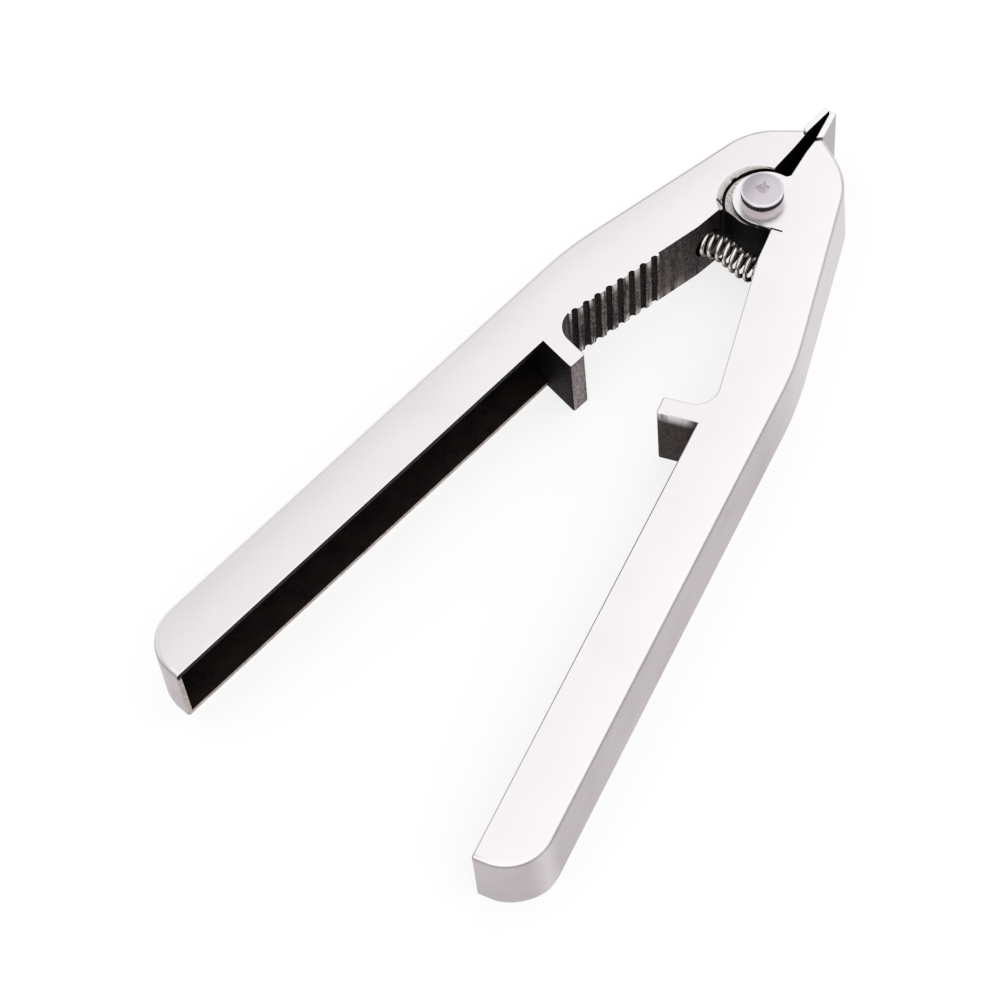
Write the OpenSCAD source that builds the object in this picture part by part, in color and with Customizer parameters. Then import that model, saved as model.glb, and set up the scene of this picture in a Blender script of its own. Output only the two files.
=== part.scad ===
// Reverse-action wick trimming and opening pliers: two cast arms on a lap pivot.
// The arms don't cross, so squeezing the handles parts the thin tips.
// Frame: pivot axis on Z at the origin, +Y towards the tips, underside at z = 0.

/* [Arms] */
// Height of the arms, from the underside to the top face
body_h = 15.5; // [14.5:0.1:17]
// Distance from the pivot to the handle ends, along the centreline
handle_reach = 143.4; // [135:0.2:150]
// Width across the two handles' inner edges, at their ends
grip_spread = 63.7; // [62:0.1:66]
// Width of a handle at its end
handle_w = 11.25; // [10.4:0.05:11.8]
// Lean of a handle from the centreline, in degrees
handle_lean = 8.8; // [8.5:0.05:9.1]
// Angle by which a handle narrows towards its end, in degrees
handle_taper = 0.3; // [0:0.05:0.5]
// Radius of a handle's outer end corner
end_r = 8.8; // [6:0.1:9.5]
// Half width over an arm's outer face, level with the pivot
pivot_half_w = 15.8; // [15:0.1:16.4]
// Lean of the outer face beside the jaws, in degrees
flank_lean = 19; // [18:0.25:20]
// Radius of the bend from the flank to the handle
flank_r = 60; // [40:1:70]
// Slope of the shoulder down from the nose, in degrees
shoulder_slope = 31; // [29:0.5:34]
// Radius of the shoulder between the flank and the nose
shoulder_r = 15; // [8:0.5:17]

/* [Handle channels] */
// Thickness of the channel's top and bottom plates
plate_t = 1.2; // [1:0.1:1.8]
// Thickness of the channel's outer wall
wall_t = 1.3; // [1:0.1:1.8]
// Thickness of the wall that closes the channel's end
end_wall_t = 1.1; // [0.9:0.1:1.6]

/* [Jaws] */
// Half width of the jaw opening, level with the spring's lower side
jaw_half_w = 6.8; // [6.6:0.05:7]
// Distance from the pivot to the bend in the jaw face, along the centreline
jaw_bend_y = 12.3; // [12:0.1:12.6]
// Lean of the jaw face from the centreline, in degrees
jaw_lean = 18.6; // [18.2:0.1:19]
// Radius of the hollow between jaw and stop
jaw_fillet_r = 4.5; // [3.5:0.1:5]
// Number of grooves across the gripping face
groove_count = 8; // [6:1:8]
// Spacing of the grooves
groove_pitch = 2.72; // [2.4:0.02:2.76]
// Radius of a groove
groove_r = 0.72; // [0.64:0.02:0.9]
// Depth of a groove
groove_depth = 0.55; // [0.4:0.05:0.6]
// Distance from the bend in the jaw face to the middle of the first groove
grip_start = 10.9; // [10.4:0.1:11.5]
// Lean of the gripping face, which stands proud of the plain face at the top, in degrees
grip_draft = 1.7; // [0:0.1:2.2]

/* [Stops] */
// Distance from the pivot to the stop's near edge
stop_r = 48.9; // [48.5:0.1:49.5]
// Width of the stop's end face
stop_w = 3.8; // [3.2:0.1:4]
// Turn of one arm, in degrees, that would bring its stop to the centreline
stop_turn = 10.33; // [10.2:0.01:10.5]
// Slope of the stop's sides from the cross direction, in degrees
stop_slope = 15.6; // [14:0.2:17]

/* [Nose and tip blades] */
// Distance from the pivot to the tips
tip_reach = 25; // [24.5:0.1:26]
// Distance from the pivot to the outer corner of the nose
nose_y = 18.6; // [18.2:0.1:18.8]
// Half width over the nose at that corner
nose_half_w = 2.25; // [2.1:0.05:2.4]
// Half width of the slot between the noses, at its mouth
slot_half_w = 1.15; // [1.05:0.05:1.25]
// Half width of the slot where it reaches the pivot
slot_root_half_w = 1.75; // [1.6:0.05:1.9]
// Thickness of a tip blade
blade_t = 1.2; // [1:0.05:1.3]
// Gap between the two blades at the tip
tip_gap = 0.3; // [0.3:0.02:0.5]
// Gap between a blade and the end of its nose
blade_seat_gap = 0.12; // [0.05:0.01:0.2]
// Length of the tang that holds a blade in its arm
tang_len = 4; // [3:0.1:4.5]
// Thickness of the tang
tang_t = 0.7; // [0.5:0.05:0.8]

/* [Pivot] */
// Thickness of each of the outer ears
ear_t = 1.2; // [1:0.05:1.6]
// Gap between the faces of the ears and the middle boss
face_gap = 0.3; // [0.3:0.05:0.4]
// Radius of the ears and of the middle boss
ear_r = 6.4; // [6.2:0.05:6.5]
// Offset of the ears from the pivot axis, across and along
ear_shift = [0.6, 0.35];
// Radius of the round recess that takes the other arm
recess_r = 7.4; // [7.4:0.05:7.6]
// Height of the eased rim round the upper recess
rim_h = 0.9; // [0.6:0.1:1.1]
// Radius of the rivet's shank
rivet_r = 2.5; // [2.2:0.1:2.8]
// Radius of the rivet's head
rivet_head_r = 4.15; // [3.8:0.05:4.5]
// Height of the rivet's head above the top face
rivet_head_h = 2.8; // [2:0.1:3]
// Radial running clearance of the boss on the rivet
pivot_clear = 0.05; // [0.03:0.01:0.08]
// Length and width of the relief slit beside each ear
slit = [2.4, 0.36];

/* [Return spring] */
// Distance from the pivot to the spring's axis
spring_y = 9.85; // [9.7:0.05:10.2]
// Mean radius of the coils
coil_r = 2.5; // [2.3:0.05:2.5]
// Radius of the wire
wire_r = 0.36; // [0.2:0.02:0.38]
// Length of the spring as fitted
spring_len = 14.2; // [13.8:0.1:14.4]
// Number of working coils
active_coils = 6.5; // [5.5:0.5:7]
// Number of closed coils at each end
end_coils = 0.9; // [0.75:0.05:1]
// Radius of the pocket that seats a spring end
pocket_r = 3.1; // [3.05:0.05:3.15]

/* [Hidden] */
$fn = 96;
eps = 0.01;
arc_step = 4;
wire_sides = 8;
coil_steps = 20;
metal = [0.90, 0.89, 0.91];
blade_steel = [0.80, 0.80, 0.83];
rivet_metal = [0.72, 0.71, 0.75];
spring_steel = [0.55, 0.52, 0.50];

// A direction that leans outward from straight back, and one that slopes up from straight across
function back_dir(lean) = [sin(lean), -cos(lean)];
function out_dir(slope) = [cos(slope), sin(slope)];
function cross2(a, b) = a.x * b.y - a.y * b.x;
// The point where the line from p along u meets the line from q along v
function meet(p, u, q, v) = p + u * cross2(q - p, v) / cross2(u, v);
function unit(v) = v / norm(v);
function turn(d) = d > 180 ? d - 360 : d < -180 ? d + 360 : d;
function angle_of(v) = atan2(v.y, v.x);

// The arc that rounds corner p, between its neighbours a and b, to radius r
function corner(a, p, b, r) =
    r == 0 ? [p] :
    let (
        u = unit(a - p),
        w = unit(b - p),
        half = acos(u * w) / 2,
        centre = p + unit(u + w) * r / sin(half),
        first = angle_of(p + u * r / tan(half) - centre),
        last = angle_of(p + w * r / tan(half) - centre),
        sweep = turn(last - first),
        steps = max(2, ceil(abs(sweep) / arc_step))
    )
    [for (i = [0 : steps]) centre + r * out_dir(first + sweep * i / steps)];

// A closed outline, from corners given as [point, radius]
function rounded(list) =
    let (n = len(list))
    [for (i = [0 : n - 1]) each corner(list[(i + n - 1) % n][0], list[i][0], list[(i + 1) % n][0], list[i][1])];

// Corners of the right arm, worked out from the driving sizes
inner_lean = handle_lean + handle_taper / 2;
outer_lean = handle_lean - handle_taper / 2;
end_in = [grip_spread / 2, -handle_reach];
end_out = end_in + handle_w * out_dir(handle_lean);
flank_start = [pivot_half_w, 0];
flank_bend = meet(end_out, back_dir(outer_lean), flank_start, back_dir(flank_lean));
nose_out = [nose_half_w, nose_y];
shoulder = meet(nose_out, out_dir(-shoulder_slope), flank_start, back_dir(flank_lean));
nose_in = [slot_half_w, nose_y - 0.85];
slot_mid = [slot_half_w + 0.05, 14];
slot_root = [slot_root_half_w, 7.2];
stop_near = stop_r * back_dir(stop_turn);
stop_far = (stop_r + stop_w) * back_dir(stop_turn);
stop_root = meet(stop_far, out_dir(stop_slope), end_in, back_dir(inner_lean));
jaw_bend = [jaw_half_w, -jaw_bend_y];
jaw_top = [5.2, -5.15];
jaw_corner = meet(jaw_bend, back_dir(jaw_lean), stop_near, out_dir(stop_slope));

// The round recess cuts only as deep as an ear and its gap
lap_t = ear_t + face_gap;
slit_at = [6.2, -4.82];
slit_slope = 10.6;
pocket_floor_x = spring_len / 2 + 0.3;
lean_of_blade = atan((slot_half_w - tip_gap / 2) / (tip_reach - nose_in.y));

module arm_outline() {
    polygon(rounded([
        [nose_in, 0],
        [slot_mid, 6],
        [slot_root, 0],
        [jaw_top, 0],
        [jaw_bend, 3],
        [jaw_corner, jaw_fillet_r],
        [stop_near, 0],
        [stop_far, 0],
        [stop_root, 0],
        [end_in, 0],
        [end_out, end_r],
        [flank_bend, flank_r],
        [shoulder, shoulder_r],
        [nose_out, 0]
    ]));
}

// The hollow of a handle, open towards the other handle
module channel() {
    open_side = [-3, 0];
    top_out = meet(stop_far, out_dir(stop_slope), end_out - [wall_t / cos(outer_lean), 0], back_dir(outer_lean));
    low = end_in + end_wall_t * out_dir(handle_lean + 90);
    low_out = end_out - wall_t * out_dir(handle_lean) + end_wall_t * out_dir(handle_lean + 90);
    translate([0, 0, plate_t])
        linear_extrude(body_h - 2 * plate_t)
            polygon(rounded([
                [stop_root + open_side - [0, 3 * tan(stop_slope)], 0],
                [top_out, 1.5],
                [low_out, end_r - wall_t],
                [low - 3 * out_dir(handle_lean), 0]
            ]));
}

// An ear or boss: the disc, its web to the jaw and its fillet into the slot
module ear_plan() {
    slot_fillet_r = 0.9;
    fillet_x = slot_root.x - slot_fillet_r;
    fillet_y = ear_shift.y + sqrt(pow(ear_r + slot_fillet_r, 2) - pow(fillet_x - ear_shift.x, 2));
    translate(ear_shift)
        circle(ear_r);
    polygon([[ear_shift.x + 0.6, ear_shift.y - ear_r + 0.02], jaw_top, [slot_root.x + 2, 4], [1, 4]]);
    difference() {
        polygon([[fillet_x, fillet_y], [slot_root.x + 0.4, fillet_y], [slot_root.x + 0.4, 6], [fillet_x, 6]]);
        translate([fillet_x, fillet_y])
            circle(slot_fillet_r);
    }
}

// The small relief slits beside the pivot, in both faces
module slits() {
    for (z = [-eps, body_h - lap_t])
        translate([slit_at.x, slit_at.y, z + (lap_t + eps) / 2])
            rotate([0, 0, slit_slope])
                cube([slit.x, slit.y, lap_t + eps], center = true);
}

module spring_pocket() {
    translate([0, -spring_y, body_h / 2])
        rotate([0, 90, 0])
            cylinder(h = pocket_floor_x, r = pocket_r);
}

module tang_block(grow) {
    translate([nose_half_w - tang_t - grow, nose_y - 0.9 - tang_len - grow, 3 - grow])
        cube([tang_t + 2 * grow, tang_len + grow + 1.4, body_h - 6 + 2 * grow]);
}

// Everything that the two arms have in common, drawn as the right arm
module plain_arm() {
    difference() {
        linear_extrude(body_h)
            arm_outline();
        channel();
        slits();
        spring_pocket();
        tang_block(0.04);
    }
}

// The jaw face's own frame: X runs back along the face and Y into the metal
module on_grip_face() {
    translate(jaw_bend)
        rotate([0, 0, jaw_lean - 90])
            rotate([grip_draft, 0, 0])
                children();
}

// The ridges' own metal, from half a spacing before the first groove to half a spacing past the last
module grip_pad() {
    pad_depth = 2;
    intersection() {
        on_grip_face()
            translate([grip_start - groove_pitch / 2, 0, -1])
                cube([groove_pitch * groove_count, pad_depth, body_h + 2]);
        translate([0, stop_near.y, 0])
            cube([stop_near.x * 3, -stop_near.y, body_h]);
    }
}

module grooves() {
    on_grip_face()
        for (i = [0 : groove_count - 1])
            translate([grip_start + i * groove_pitch, groove_depth - groove_r, -1])
                cylinder(h = body_h + 2, r = groove_r);
}

module left_arm() {
    color(metal)
        mirror([1, 0, 0])
            difference() {
                union() {
                    difference() {
                        union() {
                            plain_arm();
                            grip_pad();
                        }
                        grooves();
                    }
                    translate([0, 0, lap_t])
                        linear_extrude(body_h - 2 * lap_t)
                            ear_plan();
                }
                for (z = [-1, body_h - lap_t])
                    translate([0, 0, z])
                        cylinder(h = lap_t + 1, r = recess_r);
                translate([0.55, -0.5, body_h - rim_h])
                    cylinder(h = rim_h + eps, r1 = recess_r - 0.4, r2 = recess_r + 0.7);
                translate([0, 0, -1])
                    cylinder(h = body_h + 2, r = rivet_r + pivot_clear);
                spring_pocket();
            }
}

module right_arm() {
    color(metal)
        difference() {
            union() {
                difference() {
                    plain_arm();
                    translate([0, 0, ear_t])
                        cylinder(h = body_h - 2 * ear_t, r = recess_r);
                }
                for (z = [0, body_h - ear_t])
                    translate([0, 0, z])
                        linear_extrude(ear_t)
                            ear_plan();
            }
            translate([0, 0, -1])
                cylinder(h = body_h + 2, r = rivet_r + 0.02);
            translate([0, 0, -eps])
                cylinder(h = ear_t + 2 * eps, r1 = rivet_r + ear_t, r2 = rivet_r + 0.02);
            slits();
        }
}

// A thin hardened blade that ends flush with the faces, with a tang hidden in the nose
module tip_blade() {
    root_in = nose_in + [0, blade_seat_gap];
    root_out = nose_out + [0, blade_seat_gap];
    point_in = [tip_gap / 2, tip_reach - 0.1];
    point_out = [tip_gap / 2 + blade_t, tip_reach];
    linear_extrude(body_h)
        polygon(rounded([
            [root_in, 0],
            [root_out, 0],
            [point_out, 0.25],
            [point_in, 0]
        ]));
    tang_block(0);
}

module left_tip_blade() {
    color(blade_steel)
        mirror([1, 0, 0])
            tip_blade();
}

module right_tip_blade() {
    color(blade_steel)
        tip_blade();
}

// The formed head on top, the shank, and the tail spread into the lower ear
module pivot_rivet() {
    edge = 0.8;
    dome_h = 0.35;
    undercut = 0.5;
    dimple_r = 1.1;
    top = body_h + rivet_head_h;
    color(rivet_metal)
        rotate_extrude()
            polygon(concat(
                [[0, 0], [rivet_r + ear_t - 0.05, 0], [rivet_r, ear_t], [rivet_r, body_h]],
                [[rivet_head_r - undercut, body_h], [rivet_head_r, body_h + 2 * undercut]],
                [for (a = [0 : 15 : 90]) [rivet_head_r - edge + edge * cos(a), top - dome_h - edge + edge * sin(a)]],
                [[rivet_head_r * 0.55, top - 0.08], [dimple_r, top], [dimple_r * 0.55, top - 0.12], [0, top - 0.12]]
            ));
}

// Wire helix along X with closed ends
module return_spring() {
    turns = active_coils + 2 * end_coils;
    closed_len = end_coils * wire_r * 2.1;
    open_len = spring_len - 2 * wire_r - 2 * closed_len;
    steps = floor(turns * coil_steps);
    function advance(t) =
        t < end_coils ? t * wire_r * 2.1 :
        t < end_coils + active_coils ? closed_len + (t - end_coils) * open_len / active_coils :
        closed_len + open_len + (t - end_coils - active_coils) * wire_r * 2.1;
    rings = [for (i = [0 : steps])
        let (t = turns * i / steps, x = advance(t) - spring_len / 2 + wire_r)
        for (k = [0 : wire_sides - 1])
            let (b = 360 * k / wire_sides, r = coil_r + wire_r * cos(b))
            [x + wire_r * sin(b), r * cos(360 * t), r * sin(360 * t)]];
    sides = [for (i = [0 : steps - 1]) for (k = [0 : wire_sides - 1])
        let (a = i * wire_sides + k, b = i * wire_sides + (k + 1) % wire_sides)
        [a, b, b + wire_sides, a + wire_sides]];
    caps = [
        [for (k = [wire_sides - 1 : -1 : 0]) k],
        [for (k = [0 : wire_sides - 1]) steps * wire_sides + k]
    ];
    color(spring_steel)
        translate([0, -spring_y, body_h / 2])
            polyhedron(rings, concat(sides, caps), convexity = 8);
}

left_arm();
right_arm();
left_tip_blade();
right_tip_blade();
pivot_rivet();
return_spring();
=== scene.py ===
import math

import bmesh
import bpy
from mathutils import Matrix, Vector, noise


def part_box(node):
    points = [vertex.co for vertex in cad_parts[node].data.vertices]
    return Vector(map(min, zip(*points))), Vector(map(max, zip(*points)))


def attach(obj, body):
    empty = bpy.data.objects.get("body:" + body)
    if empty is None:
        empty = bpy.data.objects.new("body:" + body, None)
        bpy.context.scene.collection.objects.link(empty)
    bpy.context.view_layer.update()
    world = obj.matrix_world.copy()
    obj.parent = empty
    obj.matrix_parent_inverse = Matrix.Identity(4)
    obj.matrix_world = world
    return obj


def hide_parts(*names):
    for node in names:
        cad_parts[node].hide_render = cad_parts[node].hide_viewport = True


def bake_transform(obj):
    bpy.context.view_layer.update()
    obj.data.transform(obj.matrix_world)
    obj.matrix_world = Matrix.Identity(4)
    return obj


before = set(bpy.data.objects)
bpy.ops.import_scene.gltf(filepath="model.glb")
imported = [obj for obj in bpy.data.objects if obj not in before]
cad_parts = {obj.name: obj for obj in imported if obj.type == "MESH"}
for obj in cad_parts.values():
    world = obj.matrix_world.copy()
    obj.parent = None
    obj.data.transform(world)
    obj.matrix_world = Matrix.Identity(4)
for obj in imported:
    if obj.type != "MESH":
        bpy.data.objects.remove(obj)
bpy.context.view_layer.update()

# Spring-return wick trimming pliers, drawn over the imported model. All in metres unless a comment says mm:
# the pivot axis is Z at the origin, the tips point to +Y and the underside lies on z = 0.

MM = 0.001
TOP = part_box("right_arm")[1].z
MID_Z = TOP / 2
HANDLE_END_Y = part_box("right_arm")[0].y
NOSE_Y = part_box("right_arm")[1].y
SPRING_LOW, SPRING_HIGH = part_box("return_spring")
SIDES = {"left": -1, "right": 1}
TOLERANCE = 0.05 * MM

# Edges sharper than the first angle are rounded, edges sharper than the other two keep a crease in the
# shading, and faces whose normals have at least this much Z are nearly level or level
BEVEL_FROM = math.radians(24)
CREASE_FROM = math.radians(34)
RIVET_CREASE_FROM = math.radians(50)
NEARLY_LEVEL = 0.985
LEVEL = 0.9999

# Where an arm's faces change from one finish to another. Y and radii are from the pivot.
JAW_Y = -5.6 * MM
STOP_NEAR_Y = -45.6 * MM
STOP_FAR_Y = -53.5 * MM
PLATE_T = 1.2 * MM
LAP_R = 9.2 * MM
RIVET_CLEAR_R = 5.4 * MM
HANDLE_END_DEPTH = 12 * MM
NOSE_DEPTH = 1.2 * MM
STOP_ROOT = (17.1 * MM, -49.7 * MM)
END_CORNER = (41.8 * MM, -135.6 * MM)

# The left jaw's plain face: a point on it, its normal, and the stretch along Y that carries the grooves
JAW_POINT = Vector((-6.8, -12.3, 0)) * MM
JAW_NORMAL = Vector((0.948, -0.319, 0)).normalized()
GROOVE_FROM_Y = -21.2 * MM
GROOVE_TO_Y = -41.8 * MM
RIDGE_BELOW = 0.1 * MM

# The outer edge of the right arm, in mm: a point on each straight run, its direction, and the stretch of Y
# that it covers
OUTER_RUNS = [
    (Vector((42.97, -141.68)), Vector((0.1504, -0.9886)), -150, -40),
    (Vector((15.8, 0)), Vector((0.3256, -0.9455)), -40, 4),
    (Vector((2.25, 18.6)), Vector((0.8572, -0.5150)), 4, 20),
]

# The casting's draft, in mm: how far the foot of the outer wall stands out at the nose, and how much is
# added between two distances behind the pivot
DRAFT_AT_NOSE = 0.2
DRAFT_CHANGES = [(-17, -10, 0.5), (18, 28, -0.3), (28, 45, 0.15), (136, 141, -0.35)]

# The polished crown, in mm: how far in from the outer edge the level faces are cut, where they are cut
# across, how far they fall at the edge, how far from them the points that move may lie, and a stretch of Y
# that holds the whole arm
CROWN_INSETS = [1.7, 3, 4.5, 6.2, 8]
CROSS_CUTS = [14, 11, 8, 4, 0, -5, -10, -18, -26, -31, -36, -40, -44, -49, -54, -60, -75, -95, -115,
              -128, -134, -137.5]
CROWN_DROP = 0.26
CROWN_DEPTH = 1.3
WHOLE_LENGTH = (-200, 200)

RIVET_HEAD_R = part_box("pivot_rivet")[1].x
RIVET_RISE = 0.4 * MM
RIVET_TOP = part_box("pivot_rivet")[1].z + RIVET_RISE
RIVET_SHANK_R = 2.5 * MM
EAR_T = 1.2 * MM
RIVET_EDGE_R = 0.38 * MM
RIVET_DOME_H = 0.4 * MM
RIVET_SHOULDER_Z = RIVET_TOP - RIVET_DOME_H - RIVET_EDGE_R
RIVET_UNDER_Z = RIVET_SHOULDER_Z - 1.25 * MM
RIVET_NECK_IN = 0.95 * MM

# The hammered spot on the rivet's head: its radius, the width of its border, how ragged noise makes its
# outline, and, in mm, how deep it lies and how far noise dents it
PEENED_R = 1.35 * MM
PEENED_BORDER = 0.7 * MM
PEENED_RAGGED = 0.6
PEENED_GRAIN = 1100
DENT_DEPTH = 0.05
DENT_SWING = 0.12
DENT_GRAIN = 1500

SPRING_WIRE_R = 0.46 * MM
SPRING_TURNS = 8.3
SPRING_CLOSED_TURNS = 0.9
SPRING_LEAD = 2.1 * SPRING_WIRE_R
SPRING_BOW = 0.62 * MM


# ---------------------------------------------------------------- materials

# Kinds of noise, each as scale, detail and roughness, and how fine the brushing is across and along
STREAKS = (1.0, 5.0, 0.6)
WAVES = (30.0, 1.0, 0.3)
BLOTCHES = (55.0, 6.0, 0.66)
PITS = (2000.0, 4.0, 0.6)
BRUSHING = (2600, 70, 2600)

# Where a Mix node that mixes colours has its two inputs and its output
MIX_FIRST = 6
MIX_SECOND = 7
MIX_RESULT = 2


def material(name):
    """A new material, its nodes and links, and its Principled shader."""
    mat = bpy.data.materials.new(name)
    mat.use_nodes = True
    return mat, mat.node_tree.nodes, mat.node_tree.links, mat.node_tree.nodes["Principled BSDF"]


def add(nodes, kind, **settings):
    """A new node, with each setting put into its input of that name or else its property."""
    node = nodes.new("ShaderNode" + kind)
    for key, value in settings.items():
        if key in node.inputs:
            node.inputs[key].default_value = value
        else:
            setattr(node, key, value)
    return node


def stretched(nodes, links, turn_deg, scale):
    """Object coordinates turned about Z, then scaled by different amounts along and across."""
    place = add(nodes, "TexCoord")
    turned = add(nodes, "Mapping")
    turned.inputs["Rotation"].default_value = (0, 0, math.radians(turn_deg))
    links.new(place.outputs["Object"], turned.inputs["Vector"])
    sized = add(nodes, "Mapping")
    sized.inputs["Scale"].default_value = scale
    links.new(turned.outputs["Vector"], sized.inputs["Vector"])
    return sized.outputs["Vector"]


def speckle(nodes, links, vector, scale, detail, rough):
    """Noise, from about 0.3 to 0.7."""
    tex = add(nodes, "TexNoise", Scale=scale, Detail=detail, Roughness=rough)
    links.new(vector, tex.inputs["Vector"])
    return tex.outputs["Fac"]


def spread(nodes, links, value, low, high, start=0.3, end=0.7):
    """The value, mapped from start..end to low..high and held there outside."""
    node = add(nodes, "MapRange")
    for key, number in (("From Min", start), ("From Max", end), ("To Min", low), ("To Max", high)):
        node.inputs[key].default_value = number
    links.new(value, node.inputs["Value"])
    return node.outputs["Result"]


def tinted(nodes, links, factor, first, second):
    """The first colour where the factor is 0, the second where it is 1."""
    node = add(nodes, "Mix", data_type="RGBA")
    node.inputs[MIX_FIRST].default_value = (*first, 1)
    node.inputs[MIX_SECOND].default_value = (*second, 1)
    links.new(factor, node.inputs[0])
    return node.outputs[MIX_RESULT]


def bumped(nodes, links, bsdf, height, strength, distance, after=None):
    """Bump from a height, on top of an earlier bump if there is one."""
    node = add(nodes, "Bump", Strength=strength, Distance=distance)
    links.new(height, node.inputs["Height"])
    if after is not None:
        links.new(after, node.inputs["Normal"])
    links.new(node.outputs["Normal"], bsdf.inputs["Normal"])
    return node.outputs["Normal"]


def satin_steel(name, light, dark, turn_deg, rough=(0.24, 0.36), grain=0.12, covers=()):
    """Polished metal with fine lengthwise brushing, soft waves and a faint change of tone."""
    mat, nodes, links, bsdf = material(name)
    bsdf.inputs["Metallic"].default_value = 1.0
    plain = stretched(nodes, links, turn_deg, (1, 1, 1))
    brushed = stretched(nodes, links, turn_deg, BRUSHING)
    streaks = speckle(nodes, links, brushed, *STREAKS)
    waves = speckle(nodes, links, plain, *WAVES)
    blotches = speckle(nodes, links, plain, *BLOTCHES)
    darker = spread(nodes, links, blotches, 0, 1, start=0.42, end=0.72)
    colour = tinted(nodes, links, darker, light, dark)
    colour = covered(nodes, links, colour, covers)
    links.new(colour, bsdf.inputs["Base Color"])
    links.new(spread(nodes, links, streaks, *rough), bsdf.inputs["Roughness"])
    soft = bumped(nodes, links, bsdf, waves, strength=0.12, distance=0.4 * MM)
    bumped(nodes, links, bsdf, streaks, strength=grain, distance=0.02 * MM, after=soft)
    return mat


def position(nodes, links):
    """The place on the part, split into X, Y and Z."""
    place = add(nodes, "TexCoord")
    split = add(nodes, "SeparateXYZ")
    links.new(place.outputs["Object"], split.inputs["Vector"])
    return split


def height_of(nodes, links, low_z, high_z):
    """0 at low_z and 1 at high_z, on the part itself."""
    return spread(nodes, links, position(nodes, links).outputs["Z"], 0, 1, low_z, high_z)


def along_arm(nodes, links, near, far):
    """0 at near and 1 at far, along Y."""
    return spread(nodes, links, position(nodes, links).outputs["Y"], 0, 1, near, far)


def from_middle(nodes, links, near, far):
    """0 within near of the middle height and 1 beyond far."""
    offset = add(nodes, "Math", operation="SUBTRACT")
    links.new(position(nodes, links).outputs["Z"], offset.inputs[0])
    offset.inputs[1].default_value = MID_Z
    distance = add(nodes, "Math", operation="ABSOLUTE")
    links.new(offset.outputs[0], distance.inputs[0])
    return spread(nodes, links, distance.outputs[0], 0, 1, near, far)


def from_axis(nodes, links, near, far, centre=(0, 0)):
    """0 within near of an upright line, or of its twin on the other arm, and 1 beyond far."""
    split = position(nodes, links)
    across = add(nodes, "Math", operation="ABSOLUTE")
    links.new(split.outputs["X"], across.inputs[0])
    flat = add(nodes, "CombineXYZ")
    links.new(across.outputs[0], flat.inputs["X"])
    links.new(split.outputs["Y"], flat.inputs["Y"])
    apart = add(nodes, "VectorMath", operation="DISTANCE")
    links.new(flat.outputs[0], apart.inputs[0])
    apart.inputs[1].default_value = (*centre, 0)
    return spread(nodes, links, apart.outputs["Value"], 0, 1, near, far)


def from_end_corner(nodes, links, near, far):
    """0 near the handle's outer end corner."""
    return from_axis(nodes, links, near, far, END_CORNER)


def from_stop_root(nodes, links, near, far):
    """0 near the corner in which the stop leaves the handle."""
    return from_axis(nodes, links, near, far, STOP_ROOT)


def overlaid(nodes, links, base, colour, factor, ragged=None):
    """The base colour, covered by another where the factor says so, with a ragged border if wanted."""
    if ragged is not None:
        both = add(nodes, "Math", operation="MULTIPLY")
        links.new(factor, both.inputs[0])
        links.new(spread(nodes, links, ragged, 0.05, 1.0, start=0.42, end=0.58), both.inputs[1])
        factor = both.outputs[0]
    mix = add(nodes, "Mix", data_type="RGBA")
    mix.inputs[MIX_SECOND].default_value = (*colour, 1)
    links.new(factor, mix.inputs[0])
    links.new(base, mix.inputs[MIX_FIRST])
    return mix.outputs[MIX_RESULT]


def covered(nodes, links, colour, covers, ragged=None):
    """The colour under a list of others, each with the measure it follows and where that is 0 and 1."""
    for tint, measure, near, far in covers:
        colour = overlaid(nodes, links, colour, tint, measure(nodes, links, near, far), ragged)
    return colour


def cast_metal(name, light, dark, metallic, rough=(0.4, 0.7), streak=(260, 260, 30), bump=0.5,
               cover=(0.78, 1.24), shine=0.2, covers=(), ragged=True):
    """As-cast metal: mottled, pitted and streaked from top to bottom, and covered with other colours where
    its covers lie, which on some parts are painted light and shade.
    """
    mat, nodes, links, bsdf = material(name)
    bsdf.inputs["Metallic"].default_value = metallic
    bsdf.inputs["Specular IOR Level"].default_value = shine
    plain = stretched(nodes, links, 0, (1, 1, 1))
    drawn = stretched(nodes, links, 0, streak)
    pits = speckle(nodes, links, plain, *PITS)
    streaks = speckle(nodes, links, drawn, *STREAKS)
    both = add(nodes, "Math", operation="ADD")
    links.new(pits, both.inputs[0])
    links.new(streaks, both.inputs[1])
    lighter = spread(nodes, links, both.outputs[0], 0, 1, *cover)
    colour = tinted(nodes, links, lighter, dark, light)
    colour = covered(nodes, links, colour, covers, streaks if ragged else None)
    links.new(colour, bsdf.inputs["Base Color"])
    links.new(spread(nodes, links, pits, rough[1], rough[0]), bsdf.inputs["Roughness"])
    bumped(nodes, links, bsdf, both.outputs[0], strength=bump, distance=0.12 * MM)
    return mat


# ---------------------------------------------------------------- mesh helpers

def finished(name, bm, materials, body, replaced):
    """Turns the bmesh into a piece, with its materials, that stands in for a CAD node."""
    mesh = bpy.data.meshes.new(name)
    bm.to_mesh(mesh)
    bm.free()
    for mat in materials:
        mesh.materials.append(mat)
    piece = bpy.data.objects.new(name, mesh)
    bpy.context.scene.collection.objects.link(piece)
    if body:
        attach(piece, body)
    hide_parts(replaced)
    return piece


def copied(node):
    """The CAD node's surface, welded, with its flat faces whole again."""
    bm = bmesh.new()
    bm.from_mesh(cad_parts[node].data)
    bmesh.ops.remove_doubles(bm, verts=bm.verts, dist=0.02 * MM)
    bmesh.ops.dissolve_degenerate(bm, dist=0.01 * MM, edges=bm.edges)
    bmesh.ops.dissolve_limit(bm, angle_limit=math.radians(0.4), verts=bm.verts, edges=bm.edges)
    bm.normal_update()
    return bm


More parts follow.
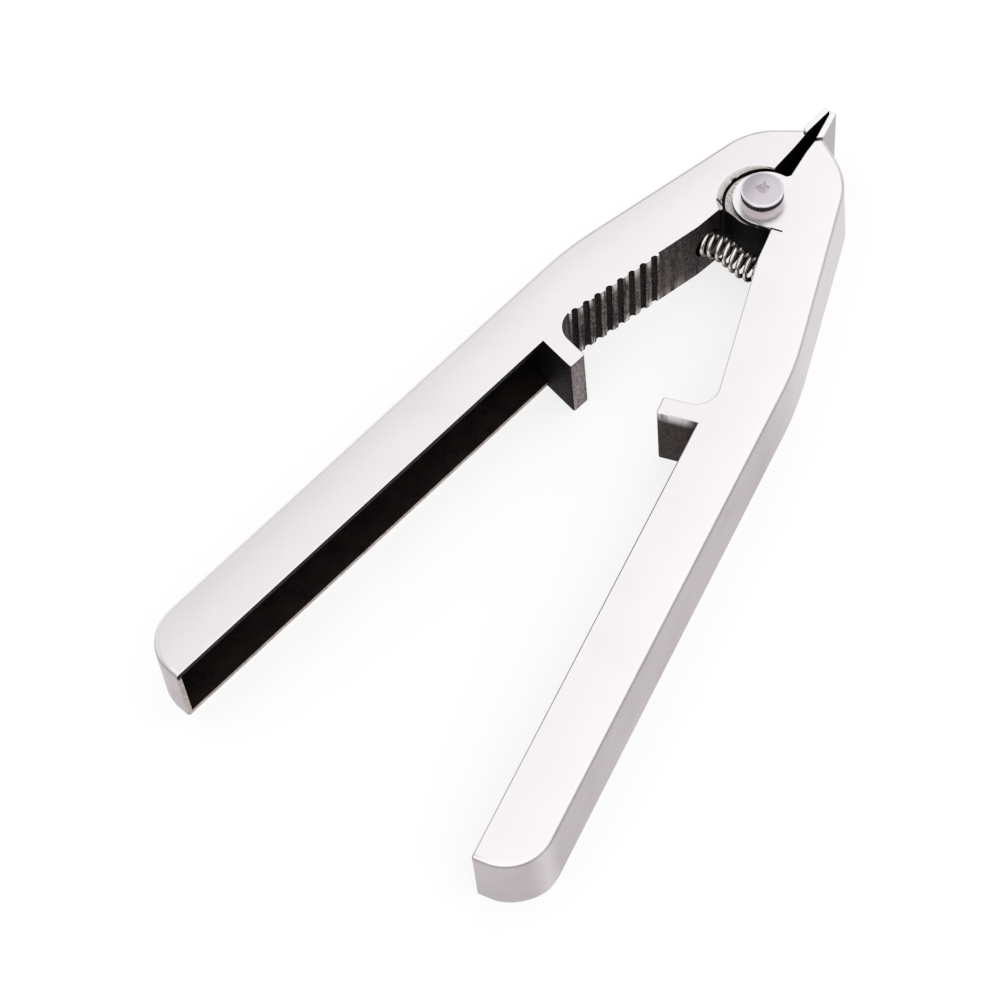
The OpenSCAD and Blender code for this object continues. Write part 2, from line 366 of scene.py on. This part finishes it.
def applied(piece):
    """Makes the piece's modifiers part of its mesh."""
    graph = bpy.context.evaluated_depsgraph_get()
    result = bpy.data.meshes.new_from_object(piece.evaluated_get(graph))
    piece.modifiers.clear()
    piece.data = result


def soften(piece, segments=4):
    """Rounds the edges by their bevel weights, where 1 is 1 mm."""
    bevel = piece.modifiers.new("edges", "BEVEL")
    bevel.limit_method = "WEIGHT"
    bevel.offset_type = "OFFSET"
    bevel.width = 1 * MM
    bevel.segments = segments
    bevel.use_clamp_overlap = False
    bevel.miter_outer = "MITER_SHARP"
    applied(piece)


def smooth(piece):
    """Smooth shading by face area, in which rounded edges don't tilt the level faces beside them."""
    piece.data.shade_smooth()
    piece.data.set_sharp_from_angle(angle=CREASE_FROM)
    weighted = piece.modifiers.new("normals", "WEIGHTED_NORMAL")
    weighted.keep_sharp = True
    weighted.weight = 100
    applied(piece)
    level_normals(piece.data)


def level_normals(mesh):
    """Averages the corner normals of the nearly level faces among those faces only."""
    normals = [Vector(n.vector) for n in mesh.corner_normals]
    level = [p for p in mesh.polygons if abs(p.normal.z) > NEARLY_LEVEL]
    sums = {}
    for face in level:
        for vert in face.vertices:
            key = (vert, face.normal.z > 0)
            sums[key] = sums.get(key, Vector()) + face.normal * face.area
    for face in level:
        for loop, vert in zip(face.loop_indices, face.vertices):
            normals[loop] = sums[(vert, face.normal.z > 0)].normalized()
    mesh.normals_split_custom_set(normals)


def smoothstep(value, low, high):
    """0 below low, 1 above high, and an S-curve between."""
    t = min(1, max(0, (value - low) / (high - low)))
    return t * t * (3 - 2 * t)


# ---------------------------------------------------------------- arms

# The channel, recess and slot zones, and the jaw's grooves, get near-black materials: painted shade in the
# arm's hollows.
ZONES = ["satin", "wall", "jaw", "groove", "ridge", "stop_end", "stop_under", "channel", "rim", "recess",
         "lap", "slot", "lip"]

# Radius of each edge, in mm, by the two finishes that meet there
EDGE_R = {
    frozenset(("satin", "wall")): 0.9,
    frozenset(("satin", "lip")): 0.3,
    frozenset(("satin", "jaw")): 0.2,
    frozenset(("satin", "groove")): 0.12,
    frozenset(("satin", "ridge")): 0.14,
    frozenset(("ridge", "groove")): 0.12,
    frozenset(("satin", "stop_end")): 0.3,
    frozenset(("satin", "stop_under")): 0.3,
    frozenset(("satin", "lap")): 0.3,
    frozenset(("satin", "rim")): 0.2,
    frozenset(("satin", "slot")): 0.22,
    frozenset(("lap", "recess")): 0.35,
    frozenset(("lap",)): 0.35,
    frozenset(("stop_end", "stop_under")): 0.6,
    frozenset(("stop_end", "jaw")): 0.4,
    frozenset(("lip", "channel")): 0.25,
    frozenset(("lip", "wall")): 0.5,
    frozenset(("wall",)): 0.5,
}


def jaw_zone(face, side):
    """Plain, groove or ridge, told by the depth behind the plain face."""
    centre = face.calc_center_median()
    if side > 0 or not GROOVE_TO_Y < centre.y < GROOVE_FROM_Y:
        return "jaw"
    proud = (centre - JAW_POINT).dot(JAW_NORMAL)
    return "ridge" if proud > -RIDGE_BELOW and face.normal.dot(JAW_NORMAL) > 0.9 else "groove"


def arm_zone(face, side):
    """The zone of one face of an arm, its finish or its painted shade, told by where it is and which way it
    faces.
    """
    centre = face.calc_center_median()
    low = min(v.co.z for v in face.verts)
    high = max(v.co.z for v in face.verts)
    out = face.normal.x * side
    flat = abs(face.normal.z) > 0.9
    near_pivot = math.hypot(centre.x, centre.y) < LAP_R
    if flat and (low > TOP - TOLERANCE or high < TOLERANCE):
        return "satin"
    inside = low > PLATE_T - TOLERANCE and high < TOP - PLATE_T + TOLERANCE
    if inside and centre.y < STOP_NEAR_Y:
        return "channel"
    if near_pivot and 0.1 < abs(face.normal.z) < 0.9:
        return "rim"
    if near_pivot and flat:
        return "lap"
    if inside or flat:
        return "recess" if near_pivot else "slot"
    if out > 0.5 or (centre.y < HANDLE_END_Y + HANDLE_END_DEPTH and face.normal.y < -0.3):
        return "wall"
    if centre.y > NOSE_Y - NOSE_DEPTH and face.normal.y > 0.5:
        return "wall"
    if centre.y < STOP_FAR_Y:
        return "lip"
    if centre.y < STOP_NEAR_Y and face.normal.y < 0.7:
        return "stop_end" if face.normal.y > -0.6 else "stop_under"
    if centre.y < JAW_Y:
        return jaw_zone(face, side)
    return "slot" if centre.y > LAP_R * 0.8 else "recess"


def draft(y):
    """How far the outer wall stands out at the underside, in metres."""
    added = (by * smoothstep(-y, start * MM, end * MM) for start, end, by in DRAFT_CHANGES)
    return sum(added, DRAFT_AT_NOSE) * MM


def lean_wall(bm):
    """Moves the foot of the outer wall outwards, as the casting's draft does."""
    for vert in bm.verts:
        if vert.co.z > TOLERANCE:
            continue
        normals = [f.normal for f in vert.link_faces if ZONES[f.material_index] == "wall"]
        if normals:
            out = sum(normals, Vector())
            out.z = 0
            vert.co += out.normalized() * draft(vert.co.y)
    bm.normal_update()


def outer_rims(bm):
    """The plan of the outer edge of the top and bottom faces, as pairs of points."""
    edge_zones = {ZONES.index("satin"), ZONES.index("wall")}
    return [tuple(v.co.xy for v in e.verts) for e in bm.edges
            if {f.material_index for f in e.link_faces} == edge_zones]


def flat_faces(bm, low_y, high_y):
    """The level top and bottom faces whose middles lie between two places along the arm, in mm."""
    found = []
    for face in bm.faces:
        centre = face.calc_center_median()
        outermost = abs(abs(centre.z - MID_Z) - MID_Z) < TOLERANCE
        if abs(face.normal.z) > LEVEL and outermost and low_y * MM <= centre.y < high_y * MM:
            found.append(face)
    return found


def cut_faces(bm, faces, point, normal):
    """Splits the faces where a plane crosses them."""
    edges = {e for f in faces for e in f.edges}
    verts = {v for e in edges for v in e.verts}
    parts = [*faces, *edges, *verts]
    bmesh.ops.bisect_plane(bm, geom=parts, dist=0.01 * MM, plane_co=point, plane_no=normal)


def from_segment(spot, start, end):
    """Distance in plan from a spot to the nearest point between start and end."""
    along = end - start
    t = min(1, max(0, (spot - start).dot(along) / max(along.length_squared, 1e-12)))
    return (start + along * t - spot).length


def crown(mesh, side, rims):
    """Eases the top and bottom faces down towards the outer edge, as hand polishing leaves them."""
    bm = bmesh.new()
    bm.from_mesh(mesh)
    for y in CROSS_CUTS:
        cut_faces(bm, flat_faces(bm, *WHOLE_LENGTH), (0, y * MM, 0), (0, 1, 0))
    for point, along, low_y, high_y in OUTER_RUNS:
        inward = Vector((along.y, -along.x))
        normal = (side * inward.x, inward.y, 0)
        for inset in CROWN_INSETS:
            spot = (point + inward * inset) * MM
            cut_faces(bm, flat_faces(bm, low_y, high_y), (side * spot.x, spot.y, 0), normal)
    reach = CROWN_INSETS[-1] * MM
    for vert in bm.verts:
        if abs(vert.co.z - MID_Z) < MID_Z - CROWN_DEPTH * MM:
            continue
        nearest = min(from_segment(vert.co.xy, *ends) for ends in rims)
        ease = max(0, 1 - nearest / reach) ** 2 * CROWN_DROP * MM
        vert.co.z += -ease if vert.co.z > MID_Z else ease
    bm.to_mesh(mesh)
    bm.free()


def weigh_edges(bm):
    """Gives each outer edge of an arm its radius, apart from the rivet's hole."""
    weight = bm.edges.layers.float.new("bevel_weight_edge")
    for edge in bm.edges:
        if len(edge.link_faces) != 2 or not edge.is_convex or edge.calc_face_angle(0) < BEVEL_FROM:
            continue
        if all(v.co.xy.length < RIVET_CLEAR_R for v in edge.verts):
            continue
        zones = frozenset(ZONES[f.material_index] for f in edge.link_faces)
        edge[weight] = EDGE_R.get(zones, 0)


def build_arm(hand, materials):
    """One casting: its finishes, draft, rounded edges, crown and shading."""
    side = SIDES[hand]
    bm = copied(hand + "_arm")
    for face in bm.faces:
        face.material_index = ZONES.index(arm_zone(face, side))
    lean_wall(bm)
    weigh_edges(bm)
    rims = outer_rims(bm)
    piece = finished(hand + "_arm_cast", bm, materials, hand + "_half", hand + "_arm")
    soften(piece)
    crown(piece.data, side, rims)
    smooth(piece)


# ---------------------------------------------------------------- blades, rivet and spring

BLADE_ZONES = ["ground", "inner", "outer"]
BLADE_EDGE_R = 0.1  # in mm, as in EDGE_R
RIVET_ZONES = ["face", "side", "peened", "rim", "neck"]


def blade_zone(face, side):
    """The zone of one face of a blade, told by which way it faces; both sides carry painted shade."""
    if face.normal.x * side < -0.5:
        return "inner"
    return "outer" if abs(face.normal.z) < 0.5 else "ground"


def build_blade(hand, materials):
    """One tip blade, with a ground top, an outer side painted darker as shade and an inner side painted
    black as shade.
    """
    side = SIDES[hand]
    node = hand + "_tip_blade"
    bm = copied(node)
    for face in bm.faces:
        face.material_index = BLADE_ZONES.index(blade_zone(face, side))
    weight = bm.edges.layers.float.new("bevel_weight_edge")
    for edge in bm.edges:
        if edge.is_convex and edge.calc_face_angle(0) > BEVEL_FROM:
            edge[weight] = BLADE_EDGE_R
    piece = finished(node + "_ground", bm, materials, hand + "_half", node)
    soften(piece, segments=2)
    smooth(piece)


def rivet_profile():
    """Radius and height from the rim of the spread tail to the centre of the head, in metres."""
    tail_r = RIVET_SHANK_R + EAR_T - TOLERANCE
    profile = [(tail_r, 0), (RIVET_SHANK_R, EAR_T), (RIVET_SHANK_R, TOP),
               (RIVET_HEAD_R - RIVET_NECK_IN, TOP), (RIVET_HEAD_R, RIVET_UNDER_Z)]
    steps = 8
    for i in range(steps + 1):
        a = math.pi / 2 * i / steps
        r = RIVET_HEAD_R - RIVET_EDGE_R * (1 - math.cos(a))
        profile.append((r, RIVET_SHOULDER_Z + RIVET_EDGE_R * math.sin(a)))
    rings = 30
    inner = RIVET_HEAD_R - RIVET_EDGE_R
    for i in range(1, rings):
        r = inner * (1 - i / rings)
        profile.append((r, RIVET_TOP - RIVET_DOME_H * (r / inner) ** 2))
    return profile


def rivet_zone(face):
    """The zone of one face of the rivet, told by where it is; the side carries painted shade and the neck
    painted light.
    """
    centre = face.calc_center_median()
    if centre.z < RIVET_UNDER_Z + TOLERANCE:
        return "neck"
    if centre.z < RIVET_SHOULDER_Z:
        return "side"
    if centre.xy.length > RIVET_HEAD_R - RIVET_EDGE_R:
        return "rim"
    ragged = 0.95 + PEENED_RAGGED * noise.noise(centre * PEENED_GRAIN)
    return "peened" if centre.xy.length < PEENED_R * ragged else "face"


def skin(bm, rings):
    """The faces between each ring of points and the next, with smooth shading."""
    faces = []
    around = len(rings[0])
    for low, high in zip(rings, rings[1:]):
        for k in range(around):
            after = (k + 1) % around
            faces.append(bm.faces.new((low[k], low[after], high[after], high[k])))
            faces[-1].smooth = True
    return faces


def peened(spot, r):
    """The spot on the head's top, dented if it lies where the hammer struck."""
    if r < PEENED_R and spot.z > RIVET_SHOULDER_Z:
        depth = smoothstep(PEENED_R - r, 0, PEENED_BORDER)
        spot.z += depth * (DENT_SWING * noise.noise(spot * DENT_GRAIN) - DENT_DEPTH) * MM
    return spot


def build_rivet(materials):
    """The whole rivet, from its spread tail to its head."""
    segments = 96
    bm = bmesh.new()
    rings = []
    for r, z in rivet_profile():
        ring = []
        for k in range(segments):
            a = 2 * math.pi * k / segments
            ring.append(bm.verts.new(peened(Vector((r * math.cos(a), r * math.sin(a), z)), r)))
        rings.append(ring)
    for face in skin(bm, rings):
        face.material_index = RIVET_ZONES.index(rivet_zone(face))
    bm.faces.new(rings[-1]).smooth = True
    bm.faces.new(list(reversed(rings[0])))
    piece = finished("pivot_rivet_head", bm, materials, "right_half", "pivot_rivet")
    piece.data.set_sharp_from_angle(angle=RIVET_CREASE_FROM)


def coil_advance(turn):
    """How far along the spring the wire has come, with its turns closed up at both ends."""
    length = SPRING_HIGH.x - SPRING_LOW.x
    open_turns = SPRING_TURNS - 2 * SPRING_CLOSED_TURNS
    pitch = (length - 2 * SPRING_WIRE_R - 2 * SPRING_CLOSED_TURNS * SPRING_LEAD) / open_turns
    last = SPRING_TURNS - SPRING_CLOSED_TURNS
    x = min(turn, SPRING_CLOSED_TURNS) * SPRING_LEAD
    x += max(0, min(turn, last) - SPRING_CLOSED_TURNS) * pitch
    return x + max(0, turn - last) * SPRING_LEAD


def build_spring(mat):
    """The coil spring, bowed sideways a little, between the two arms."""
    wire_r = SPRING_WIRE_R
    per_turn = 32
    around = 10
    length = SPRING_HIGH.x - SPRING_LOW.x
    axis_y = (SPRING_LOW.y + SPRING_HIGH.y) / 2
    coil_r = (SPRING_HIGH.y - SPRING_LOW.y) / 2 - wire_r
    bm = bmesh.new()
    rings = []
    steps = round(SPRING_TURNS * per_turn)
    for i in range(steps + 1):
        turn = SPRING_TURNS * i / steps
        x = coil_advance(turn)
        a = 2 * math.pi * turn
        out = Vector((0, math.cos(a), math.sin(a)))
        along = 2 * (x + wire_r) / length - 1
        sag = -SPRING_BOW * math.sin(math.pi * along) * (1 - along ** 4)
        centre = Vector((x + wire_r - length / 2, axis_y + sag, MID_Z)) + out * coil_r
        ring = []
        for k in range(around):
            b = 2 * math.pi * k / around
            outward = out * math.cos(b) + Vector((math.sin(b), 0, 0))
            ring.append(bm.verts.new(centre + outward * wire_r))
        rings.append(ring)
    skin(bm, rings)
    bm.faces.new(list(reversed(rings[0])))
    bm.faces.new(rings[-1])
    bmesh.ops.recalc_face_normals(bm, faces=bm.faces)
    piece = finished("return_spring_wire", bm, [mat], None, "return_spring")
    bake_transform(piece)


# ---------------------------------------------------------------- studio

# The sky's brightness is the first ramp times the second, plus the third. Each row is an axis of the
# direction, where the ramp starts and ends along it, and its value at both.
SKY_RAMPS = [
    ("Z", (0.05, 0.6, 0.2, 1.06)),
    ("X", (-0.60, -0.31, 0.5, 1)),
    ("X", (-0.60, -0.85, 0, 0.45)),
]
CAMERA_AZIMUTH = math.radians(41.13)
CAMERA_ELEVATION = math.radians(58.72)
CAMERA_ROLL = -0.1313
CAMERA_TARGET = Vector((-10.21, -75.57, 0)) * MM
CAMERA_DISTANCE = 556.3 * MM
CAMERA_LENS = 106.67


def build_floor():
    """A plain pale floor, just under the part."""
    bm = bmesh.new()
    bmesh.ops.create_grid(bm, x_segments=1, y_segments=1, size=2.0)
    mesh = bpy.data.meshes.new("floor")
    bm.to_mesh(mesh)
    bm.free()
    floor = bpy.data.objects.new("floor", mesh)
    floor.location.z = -0.05 * MM
    bpy.context.scene.collection.objects.link(floor)
    mat, _, _, bsdf = material("floor_white")
    bsdf.inputs["Base Color"].default_value = (0.28, 0.28, 0.28, 1)
    bsdf.inputs["Roughness"].default_value = 0.9
    bsdf.inputs["Specular IOR Level"].default_value = 0.1
    bsdf.inputs["Emission Color"].default_value = (1, 1, 1, 1)
    bsdf.inputs["Emission Strength"].default_value = 0.77
    mesh.materials.append(mat)


def build_world():
    """A bright soft sky, dim near the horizon and on the left, with a low glow on the far left."""
    world = bpy.data.worlds.new("studio")
    world.use_nodes = True
    nodes, links = world.node_tree.nodes, world.node_tree.links
    place = add(nodes, "TexCoord")
    split = add(nodes, "SeparateXYZ")
    links.new(place.outputs["Generated"], split.inputs["Vector"])
    brightness = add(nodes, "Math", operation="MULTIPLY_ADD")
    for index, (axis, limits) in enumerate(SKY_RAMPS):
        ramp = add(nodes, "MapRange", interpolation_type="SMOOTHSTEP")
        for key, number in zip(("From Min", "From Max", "To Min", "To Max"), limits):
            ramp.inputs[key].default_value = number
        links.new(split.outputs[axis], ramp.inputs["Value"])
        links.new(ramp.outputs["Result"], brightness.inputs[index])
    nodes["Background"].inputs["Color"].default_value = (1, 1, 1, 1)
    links.new(brightness.outputs[0], nodes["Background"].inputs["Strength"])
    bpy.context.scene.world = world


def build_camera():
    """The photo's viewing angle: back points from the target to the camera."""
    level = math.cos(CAMERA_ELEVATION)
    back = Vector((math.sin(CAMERA_AZIMUTH) * level, -math.cos(CAMERA_AZIMUTH) * level,
                   math.sin(CAMERA_ELEVATION)))
    across = Vector((0, 0, 1)).cross(back).normalized()
    up = back.cross(across)
    right = math.cos(CAMERA_ROLL) * across + math.sin(CAMERA_ROLL) * up
    top = math.cos(CAMERA_ROLL) * up - math.sin(CAMERA_ROLL) * across
    data = bpy.data.cameras.new("camera")
    data.sensor_width = 36
    data.lens = CAMERA_LENS
    data.clip_start = 0.01
    camera = bpy.data.objects.new("camera", data)
    turn = Matrix((right, top, back)).transposed().to_4x4()
    camera.matrix_world = Matrix.Translation(CAMERA_TARGET + back * CAMERA_DISTANCE) @ turn
    bpy.context.scene.collection.objects.link(camera)
    bpy.context.scene.camera = camera


# ---------------------------------------------------------------- assembly

build_camera()
build_floor()
build_world()
bpy.context.scene.view_settings.view_transform = "Standard"

BRUSHED_DEG = -8.8
BLACK = (0.004, 0.0038, 0.0035)
SATIN = {hand: satin_steel("satin_" + hand, (0.955, 0.915, 0.94), (0.93, 0.89, 0.915),
                           BRUSHED_DEG * side, rough=(0.29, 0.325), grain=0.01)
         for hand, side in SIDES.items()}
# The upright walls are a darker copy of the top faces' satin steel: painted shade. They are lighter towards
# the pivot, from 46 mm to 22 mm behind it, and carry a painted highlight at the handle's outer end corner.
WALL = satin_steel("wall_steel_painted_shade_and_highlight", (0.51, 0.465, 0.485), (0.45, 0.405, 0.425), BRUSHED_DEG,
                   rough=(0.3, 0.42), grain=0.04,
                   covers=[((0.66, 0.62, 0.65), along_arm, -46 * MM, -22 * MM),
                           ((0.63, 0.58, 0.61), from_end_corner, 3.6 * MM, 0.2 * MM)])
# Lighter towards the underside, below 3.4 mm. Black from 13.3 mm behind the pivot forwards, fading out by
# 17 mm: painted shade between the arms near the pivot.
JAW = cast_metal("cast_jaw_and_painted_shade", (0.115, 0.080, 0.077), (0.006, 0.005, 0.005), 0.4,
                 streak=(900, 900, 90), bump=0.8, cover=(0.84, 1.18),
                 covers=[((0.34, 0.29, 0.27), height_of, 3.4 * MM, 0.2 * MM),
                         (BLACK, along_arm, -17 * MM, -13.3 * MM)])
# The grooves are near-black: painted shade in them.
GROOVE = cast_metal("groove_painted_shade", (0.036, 0.027, 0.025), BLACK, 0.0,
                    streak=(900, 900, 60), shine=0.05, bump=0.8, cover=(0.9, 1.2))
RIDGE = cast_metal("cast_ridge", (0.20, 0.155, 0.15), (0.008, 0.006, 0.006), 0.4,
                   streak=(1300, 1300, 110), bump=0.9, cover=(0.9, 1.16),
                   covers=[((0.80, 0.73, 0.71), from_middle, 4.8 * MM, 7.0 * MM)])
STOP_END = cast_metal("cast_stop_end", (0.42, 0.355, 0.355), (0.085, 0.068, 0.066), 0.5)
STOP_UNDER = cast_metal("cast_stop_under", (0.008, 0.006, 0.005), BLACK, 0.0,
                        shine=0.05, covers=[((0.014, 0.0095, 0.008), height_of, 7 * MM, 0.5 * MM)])
# The right stop's underside: dark brown, with a painted highlight along its rounded top edge and painted
# shade in the corner where the stop leaves the handle.
STOP_UNDER_SHEEN_AND_SHADE = cast_metal("cast_stop_painted_sheen_and_shade", (0.082, 0.058, 0.054), (0.024, 0.017, 0.015), 0.1,
                             shine=0.1,
                             covers=[((0.95, 0.88, 0.90), height_of, TOP - 2.7 * MM, TOP - 0.7 * MM),
                                     (BLACK, from_stop_root, 2.2 * MM, 0.6 * MM)])
# Near-black: painted shade inside the handle's channel.
CHANNEL = cast_metal("channel_painted_shade", (0.024, 0.017, 0.016), (0.008, 0.006, 0.006), 0.0,
                     shine=0.1)
RIM = cast_metal("turned_rim", (0.95, 0.89, 0.86), (0.74, 0.67, 0.63), 0.1,
                 rough=(0.3, 0.45), bump=0.2, cover=(0.7, 1.0))
# Near-black: painted shade in the recess around the pivot.
RECESS = cast_metal("recess_painted_shade", (0.008, 0.007, 0.006), BLACK, 0.0, shine=0.05)
# Black beyond 7.2 mm from the pivot: painted shade where the lap meets the recess wall.
LAP = cast_metal("cast_lap", (0.90, 0.84, 0.84), (0.42, 0.38, 0.38), 0.85,
                 rough=(0.3, 0.5), ragged=False,
                 covers=[(BLACK, from_axis, 7.08 * MM, 7.2 * MM)])
# Near-black: painted shade in the slots, and on the blades' inner sides.
SLOT = cast_metal("slot_painted_shade", (0.006, 0.006, 0.0055), BLACK, 0.0, shine=0.0)
LIP = cast_metal("cast_lip", (0.62, 0.55, 0.51), (0.34, 0.29, 0.27), 0.7,
                 ragged=False,
                 covers=[(BLACK, height_of, TOP - 2.2 * MM, TOP - 1.3 * MM)])
BLADE = satin_steel("ground_steel", (0.95, 0.93, 0.95), (0.88, 0.86, 0.88), 90,
                    rough=(0.22, 0.32), grain=0.04)
# The blades' outer sides are a darker copy of their ground steel: painted shade.
BLADE_SIDE = satin_steel("ground_side_painted_shade", (0.47, 0.43, 0.46), (0.41, 0.37, 0.40), 0,
                         rough=(0.3, 0.42), grain=0.03)
RIVET_FACE = satin_steel("rivet_steel", (0.68, 0.63, 0.69), (0.60, 0.55, 0.61), 30,
                         rough=(0.26, 0.38))
RIVET_RIM = satin_steel("rivet_rim", (0.93, 0.90, 0.93), (0.84, 0.81, 0.84), 30,
                        rough=(0.3, 0.4))
# Near white on the hidden underside of the head: painted light, so the ear below reflects it bright instead
# of the shade under the head.
RIVET_NECK = cast_metal("rivet_neck", (0.97, 0.92, 0.94), (0.88, 0.84, 0.86), 0.1,
                        rough=(0.4, 0.5), shine=0.0, cover=(0.7, 1.0))
# Near-black on the head's side: painted shade under the head.
RIVET_SIDE = cast_metal("rivet_side_painted_shade", (0.010, 0.009, 0.008), BLACK, 0.1, shine=0.1)
PEENED = cast_metal("rivet_peened", (0.62, 0.56, 0.61), (0.42, 0.36, 0.40), 0.9,
                    rough=(0.3, 0.45), cover=(0.86, 1.14))
# Dark below the coil's middle height: painted shade on the lower half of the wire.
SPRING = satin_steel("spring_wire", (0.97, 0.93, 0.90), (0.80, 0.73, 0.68), 0,
                     rough=(0.2, 0.3),
                     covers=[((0.07, 0.055, 0.05), height_of, MID_Z + 0.9 * MM, MID_Z - 0.8 * MM)])

# Only the right arm's copy carries the painted highlight.
STOP_UNDERS = {"left": STOP_UNDER, "right": STOP_UNDER_SHEEN_AND_SHADE}

# Each list of materials is in the order of ZONES, BLADE_ZONES or RIVET_ZONES
for hand in SIDES:
    build_arm(hand, [SATIN[hand], WALL, JAW, GROOVE, RIDGE, STOP_END, STOP_UNDERS[hand], CHANNEL, RIM,
                     RECESS, LAP, SLOT, LIP])
    build_blade(hand, [BLADE, SLOT, BLADE_SIDE])
build_rivet([RIVET_FACE, RIVET_SIDE, PEENED, RIVET_RIM, RIVET_NECK])
build_spring(SPRING)
